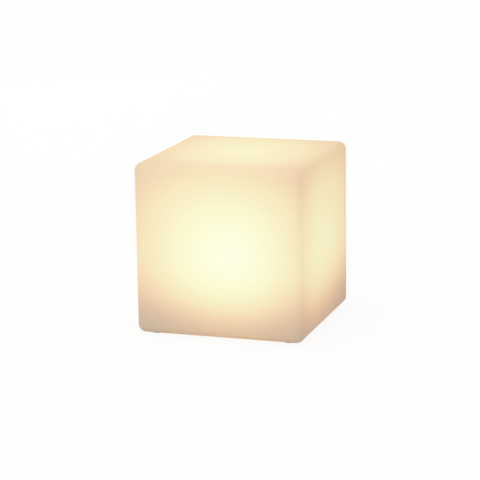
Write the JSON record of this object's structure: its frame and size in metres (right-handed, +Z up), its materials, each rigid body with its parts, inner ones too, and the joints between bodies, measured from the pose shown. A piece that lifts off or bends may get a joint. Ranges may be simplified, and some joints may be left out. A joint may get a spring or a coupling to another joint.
{
  "type": "led cube light",
  "caption": "Cordless cube lamp for the garden: a glowing translucent cube with softly rounded edges, closed below by a round cover with a push button and a bunged charging jack.",
  "frame": {"origin": "on the ground, under the middle of the cube", "axes": "+Z up through the top, -Y towards the front face, +X towards the right-hand face"},
  "size_m": [0.2, 0.2, 0.2015],
  "materials": {
    "shell_plastic": "satin",
    "cover_plastic": "satin",
    "can_plastic": "matte",
    "black_plastic": "satin",
    "button_plastic": "satin",
    "clear_plastic": "gloss",
    "frosted_plastic": "matte",
    "boot_rubber": "matte",
    "rubber": "matte",
    "silicone": "satin",
    "foam": "matte",
    "red_lead": "satin",
    "black_lead": "satin",
    "brass": "satin",
    "nickel": "polished",
    "stainless": "satin",
    "aluminium": "satin",
    "cell_wrap": "gloss",
    "green_board": "satin",
    "white_board": "satin",
    "diode": "gloss"
  },
  "bodies": {
    "lamp": {"base_cover": "cover_plastic", "base_gasket": "silicone", "board_chips": "black_plastic", "board_screw_1": "stainless", "board_screw_2": "stainless", "board_screw_3": "stainless", "bung_anchor": "rubber", "button_bezel": "cover_plastic", "button_boot": "boot_rubber", "canister": "can_plastic", "canister_screw_1": "stainless", "canister_screw_2": "stainless", "canister_screw_3": "stainless", "canister_screw_4": "stainless", "canister_seal": "silicone", "cell_1": "cell_wrap", "cell_2": "cell_wrap", "cell_cradle": "black_plastic", "cell_lead_negative": "black_lead", "cell_lead_positive": "red_lead", "charge_indicator": "clear_plastic", "charge_socket": "black_plastic", "control_board": "green_board", "cover_screw_1": "stainless", "cover_screw_2": "stainless", "cover_screw_3": "stainless", "cover_screw_4": "stainless", "cover_screw_5": "stainless", "cover_screw_6": "stainless", "cube_shell": "shell_plastic", "dome": "frosted_plastic", "dome_screw_1": "stainless", "dome_screw_2": "stainless", "dome_screw_3": "stainless", "dome_seal": "silicone", "foam_pad": "foam", "foot_1": "rubber", "foot_2": "rubber", "foot_3": "rubber", "foot_4": "rubber", "heat_spreader": "aluminium", "lamp_board": "white_board", "lamp_board_screw_1": "stainless", "lamp_board_screw_2": "stainless", "lamp_diodes": "diode", "lamp_lead_negative": "black_lead", "lamp_lead_positive": "red_lead", "negative_strip": "nickel", "positive_strip": "nickel", "socket_pin": "nickel", "tact_switch": "black_plastic", "thread_insert_1": "brass", "thread_insert_2": "brass", "thread_insert_3": "brass", "thread_insert_4": "brass", "thread_insert_5": "brass", "thread_insert_6": "brass"},
    "button": {"power_button": "button_plastic", "switch_plunger": "black_plastic"},
    "bung": {"bung_cap": "rubber"}
  },
  "joints": [
    {"name": "button_press", "type": "slide", "parent": "lamp", "child": "button", "axis": [0, 0, 1], "range_m": [0, 0.0008], "stiffness_N_per_m": 2500, "springref_m": -0.0004, "deforming": ["button_boot"]},
    {"name": "bung_swing", "type": "hinge", "parent": "lamp", "child": "bung", "pos_m": [0.018, 0, 0.0131], "axis": [0, -1, 0], "range_deg": [0, 110]}
  ]
}
